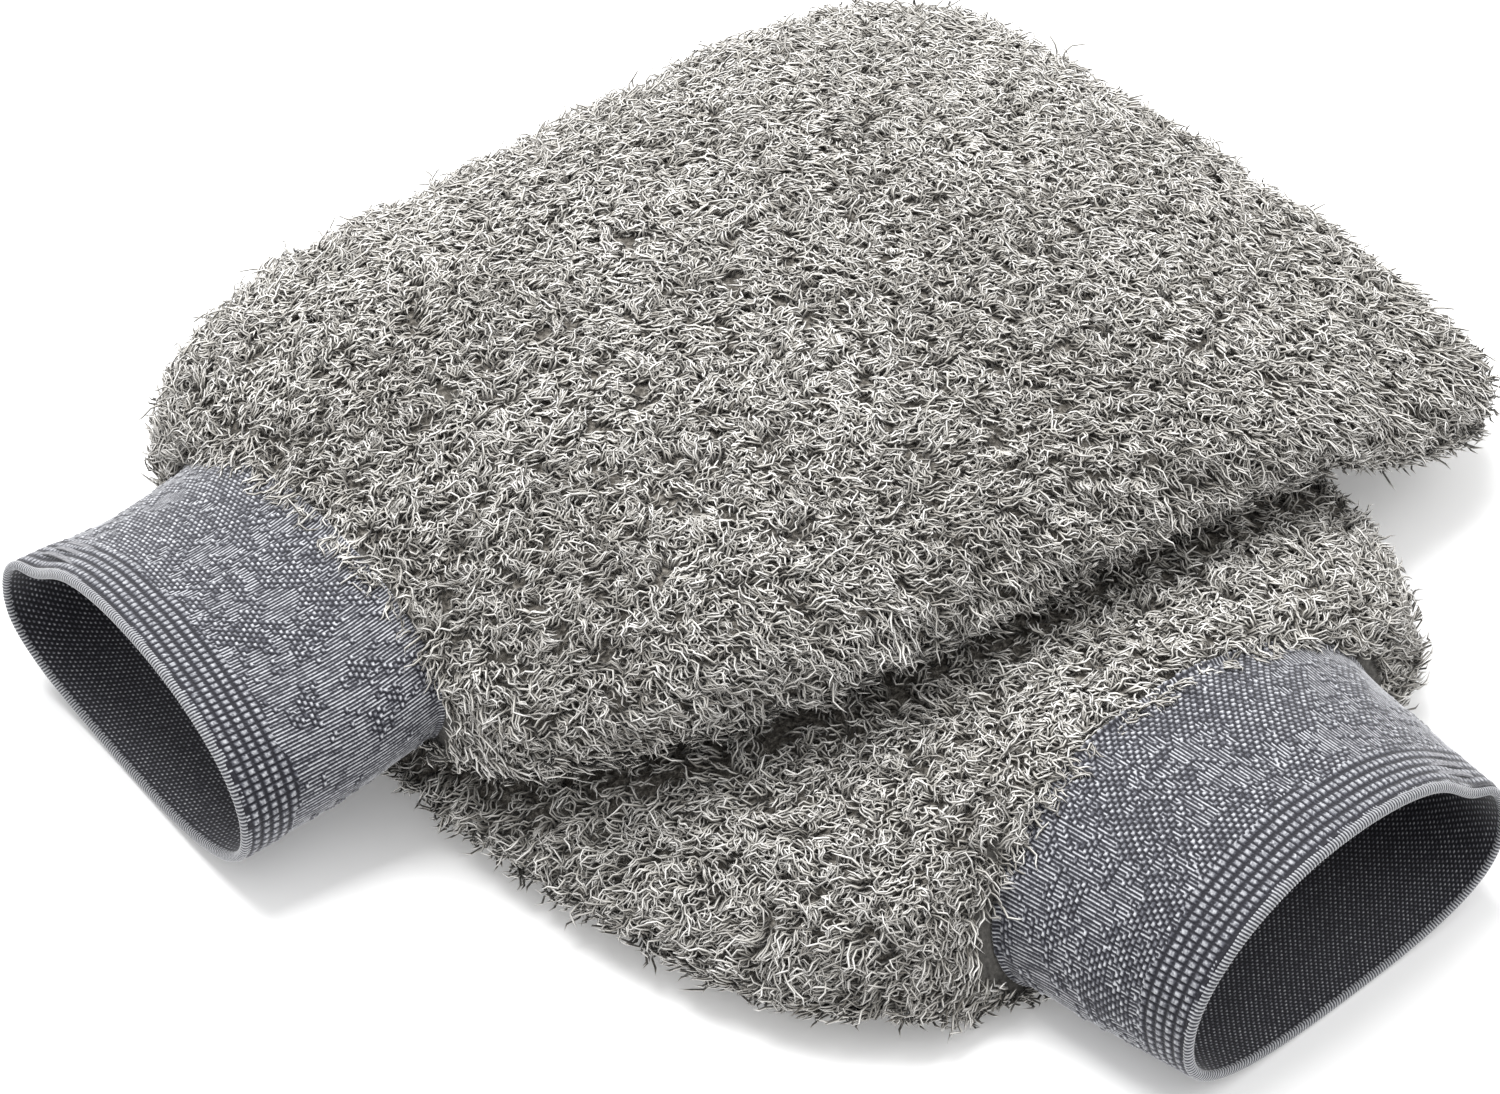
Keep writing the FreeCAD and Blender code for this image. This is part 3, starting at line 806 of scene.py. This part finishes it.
def cuff(mitt):
    """Face knit, back knit and welt of one cuff."""
    name = mitt["name"]
    rng = np.random.default_rng({"lower": 31, "upper": 32}[name])
    cuff_body, mitt_body = name + "_cuff", name + "_mitt"
    angles, around = even_angles(mitt, SPACING_STATION, FACE_COLUMNS)

    # Face knit: fine wales, five rows of blocks behind the mouth, then scattered stitches.
    straight = FACE_ROWS - 6
    along = np.concatenate([np.linspace(-CUFF_LENGTH + 1.2, 0.4, straight),
                            [0.8, 1.3, 1.9, 2.5, 3.1, 3.7]])
    roll = np.concatenate([np.zeros(straight - 4), [-0.15, -0.5, -0.75, -0.65],
                           [-0.2, 0.6, 1.5, 2.4, 3.2, 3.9]])
    a, t = np.broadcast_arrays(along[:, None], angles[None, :])
    rows, columns = np.indices(a.shape)
    from_mouth = a + CUFF_LENGTH
    flat = cuff_points(mitt, a, t, 0.0)
    wale = (columns % 2).astype(float)
    row_phase = (from_mouth - 2.0) / 2.15
    in_block = np.array([0.0, 0.85, 1.0, 0.8])[columns % FACE_BLOCK]
    block = in_block * np.clip(np.sin(math.pi * (row_phase % 1.0)) * 2.0 - 0.6, 0, 1)
    band = (row_phase > 0) & (row_phase < 4.6 + 0.9 * wave_noise(flat, 9.0, 40, 1)[..., 0])
    block = block * band * (0.56 + 0.22 * rng.random(a.shape))

    # Scattered raised stitches on a staggered lattice, dense in drifts and in broken rows.
    course = rows // STITCH_ROWS
    shift = FACE_BLOCK // 2 * (course % 2)
    cell = ((columns + shift) % FACE_COLUMNS) // FACE_BLOCK
    inside = (columns + shift) % FACE_BLOCK
    drift = wave_noise(flat, 8.0, 41, 1)[..., 0]
    random_cell = rng.random((int(course.max()) + 1, int(cell.max()) + 1))
    broken = rng.random((int(course.max()) // 2 + 1, int(cell.max()) + 1))
    broken = broken.repeat(2, 0)[:random_cell.shape[0]]
    broken = (broken + np.roll(broken, 1, 1) + np.roll(broken, 2, 1)) / 3
    at, spread, least, most = DRIFTS[name]
    away = np.abs(np.angle(np.exp(1j * (t - math.radians(at)))))
    share = least + (most - least) * np.exp(-(away / spread) ** 2) + 0.40 * drift
    chance = 0.55 * random_cell + 0.45 * np.clip((broken - 0.2) / 0.6, 0, 1)
    raised = chance[course, cell] < share
    profile = np.array([0.1, 0.95, 0.8])[rows % STITCH_ROWS]
    stitch = raised * profile * np.array([0.0, 0.9, 1.0, 0.5])[inside]
    bright = 0.55 + 0.45 * rng.random(random_cell.shape)
    stitch = stitch * ~band * (from_mouth > 2.4) * bright[course, cell]
    relief = np.maximum(block, stitch)
    plain = ~(raised | band)
    small = rng.normal(size=relief.shape) * 0.06
    heather = 0.72 + 0.4 * rng.random((rows.shape[0] // 6 + 1, FACE_COLUMNS)).repeat(6, 0)
    heather = heather[:rows.shape[0]]
    # lift is partly the yarns' own colours (pale raised stitches and blocks) and partly painted
    # shade (dark furrows between wales and between block rows).
    lift = np.clip(wale * (0.22 + 0.68 * plain) * heather * (1 - relief) + relief + small, 0, 1)
    gentle = wave_noise(flat, 14.0, 43, 1)[..., 0] * 0.5
    depth = 0.45 - 0.16 * wale - 0.48 * relief + gentle + roll[:, None]
    shown = cuff_points(mitt, a, t, depth)
    back_t = angles[::FACE_BLOCK][None, :]
    back_along = np.concatenate([np.linspace(-CUFF_LENGTH + 1.2, 0.6, 24), [2.8, 3.7]])[:, None]
    under = np.concatenate([np.full(24, 1.3), [3.2, 4.3]])[:, None]
    back_along, under, back_t = np.broadcast_arrays(back_along, under, back_t)
    hidden = cuff_points(mitt, back_along, back_t, under)
    face = two_sided(name + "_cuff_face", shown, hidden, FACE_BLOCK, lift, FACE, False)

    # Back knit: dark, with a bird's-eye of pale stitches on its inner face.
    turns, _ = even_angles(mitt, SPACING_STATION, BACK_COLUMNS)
    along = np.linspace(-CUFF_LENGTH + 1.0, 0.6, BACK_ROWS)
    a, t = np.broadcast_arrays(along[:, None], turns[None, :])
    r, c = np.indices(a.shape)
    # A pale stitch on every other course, staggered from one to the next.
    place_in = (c + 2 * (r // 2 % 2)) % 4
    dot = (r % 2) * np.array([0.1, 1.0, 0.7, 0.0])[place_in]
    dot = dot * (0.6 + 0.4 * rng.random(dot.shape))
    inner = cuff_points(mitt, a, t, 2.25 - 0.14 * dot)
    outer_t = turns[::BACK_BLOCK][None, :]
    outer_a = np.linspace(-CUFF_LENGTH + 1.0, 0.6, 22)[:, None]
    outer_a, outer_t = np.broadcast_arrays(outer_a, outer_t)
    outer = cuff_points(mitt, outer_a, outer_t, 1.55)
    back = two_sided(name + "_cuff_back", inner, outer, BACK_BLOCK,
                     0.06 + 0.85 * dot, BACK, True)

    # Welt: a rolled edge with a rib for each wale.
    section = 12
    turn = 2 * math.pi * np.arange(section) / section
    t, s = np.broadcast_arrays(angles[:, None], turn[None, :])
    rib = (np.arange(FACE_COLUMNS) % 2).astype(float)[:, None]
    size = 0.82 + 0.14 * rib
    a = -CUFF_LENGTH + 1.0 - np.cos(s) * 1.0 * size
    depth = 1.25 - np.sin(s) * 1.15 * size
    points = cuff_points(mitt, a, t, depth)
    quads = grid_quads(FACE_COLUMNS, section, True)
    closing = np.stack([(FACE_COLUMNS - 1) * section + np.arange(section),
                        (FACE_COLUMNS - 1) * section + (np.arange(section) + 1) % section,
                        (np.arange(section) + 1) % section, np.arange(section)], -1)
    uv = grid_uv(quads, FACE_COLUMNS, section, 0, (0.01, 0.01), (0.99, 0.99)).reshape(-1, 2)
    uv = np.concatenate([uv, np.tile([[0, 0], [0.004, 0], [0.004, 0.004], [0, 0.004]],
                                     (len(closing), 1))])
    # Painted shade: the furrows between the welt's ribs are dark, the ribs pale.
    lift = np.broadcast_to(0.05 + 0.85 * rib, t.shape)
    welt = make_mesh(name + "_cuff_mouth", points.reshape(-1, 3), np.concatenate([quads, closing]),
                     None, {"lift": lift.reshape(-1)}, uv)
    welt.data.materials.append(WELT)
    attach(welt, cuff_body)
    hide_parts(name + "_cuff_mouth_welt")

    # The face and back knit keep their points in the row frame, with no parent, and their CAD
    # pieces are hidden.
    for piece, slot in ((face, "cuff_face_knit"), (back, "cuff_back_knit")):
        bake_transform(piece)
        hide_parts(name + "_" + slot)


# ---- seams ----
def overlock(mitt):
    """Overlock thread of the wrist: loops wound over the raw edge of the allowances."""
    name = mitt["name"]
    loops, steps, sides, radius = 150, 10, 4, 0.16
    centre, reach = 1.5, 1.15       # of the coil along the mitt, mm
    depth, swing = 6.55, 0.6        # below the oval's surface, mm
    t = 2 * math.pi * np.arange(loops * steps) / (loops * steps)
    spin = 2 * math.pi * np.arange(loops * steps) / steps
    path = oval(mitt, centre + reach * np.cos(spin), t, depth + swing * np.sin(spin))
    path[:, 2] = np.maximum(path[:, 2], 0.6 * MM)
    ring = tubes(path[None], np.full((1, len(path)), radius * MM), sides, (0.3, 0.2, 1.0))[0]
    quads = grid_quads(len(path), sides, True)
    ends = np.array([[3, 2, 1, 0], np.array([0, 1, 2, 3]) + (len(path) - 1) * sides])
    quads = np.concatenate([quads, ends])
    uv = grid_uv(quads[:-2], len(path), sides, 0, (0.01, 0.01), (0.99, 0.99)).reshape(-1, 2)
    uv = np.concatenate([uv, np.tile([[0, 0], [0.004, 0], [0.004, 0.004], [0, 0.004]], (2, 1))])
    obj = make_mesh(name + "_wrist_overlock", ring.reshape(-1, 3), quads, bake_uv=uv)
    obj.data.materials.append(THREAD)
    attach(obj, name + "_mitt")
    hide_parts(name + "_wrist_seam_overlock")


def seams(mitt):
    """Materials of the CAD pieces that stay: allowances, side overlock and elastic."""
    name = mitt["name"]
    # Painted shade: the allowances take the dark allowance colour.
    for node, material in (("_side_seam", SHADED_ALLOWANCE), ("_side_seam_overlock", THREAD),
                           ("_wrist_seam", SHADED_ALLOWANCE), ("_cuff_elastic_yarns", ELASTIC)):
        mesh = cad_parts[name + node].data
        mesh.materials.clear()
        mesh.materials.append(material)


# ---- floor, light and camera ----
def aim(obj, target):
    direction = Vector(target) - obj.location
    obj.rotation_euler = direction.to_track_quat("-Z", "Y").to_euler()


def studio():
    scene = bpy.context.scene
    material, tree, principled = shader("floor_paper", 0.9, specular=0.1)
    fine = noise(tree, 40.0, 3.0)
    tree.links.new(ramp(tree, fine, [(0.3, (0.86, 0.86, 0.86)), (0.7, (0.88, 0.88, 0.88))]),
                   principled.inputs["Base Color"])
    principled.inputs["Emission Color"].default_value = (1.0, 1.0, 1.0, 1.0)
    principled.inputs["Emission Strength"].default_value = 0.16
    size = 6.0
    floor = make_mesh("floor", np.array([[-size, -size, 0], [size, -size, 0], [size, size, 0],
                                         [-size, size, 0]]), np.array([[0, 1, 2, 3]]))
    floor.data.materials.append(material)
    world = bpy.data.worlds.new("studio")
    world.use_nodes = True
    background = world.node_tree.nodes["Background"]
    background.inputs["Color"].default_value = (1.0, 1.0, 1.0, 1.0)
    background.inputs["Strength"].default_value = 0.80
    scene.world = world
    target = np.array([SHIFT[0] * MM, SHIFT[1] * MM, 0.0])
    for name, spot, power, width in (("key", (-0.26, 0.42, 1.1), 22.0, 0.85),
                                     ("side", (0.9, -0.1, 0.9), 4.0, 0.9)):
        lamp = bpy.data.lights.new(name, "AREA")
        lamp.energy = power
        lamp.size = width
        obj = bpy.data.objects.new(name, lamp)
        scene.collection.objects.link(obj)
        obj.location = spot
        aim(obj, target)
    camera = bpy.data.objects.new("camera", bpy.data.cameras.new("camera"))
    camera.data.lens = 70.0
    camera.data.sensor_width = 36.0
    camera.data.clip_start = 0.02
    scene.collection.objects.link(camera)
    tilt = math.radians(CAMERA_TILT)
    camera.location = target + CAMERA_DISTANCE * np.array([0.0, -math.cos(tilt), math.sin(tilt)])
    aim(camera, target)
    scene.camera = camera
    scene.view_settings.view_transform = "Standard"
    scene.view_settings.look = "None"


for one in (LOWER, UPPER):
    panels(one)
    cuff(one)
    overlock(one)
    seams(one)
studio()
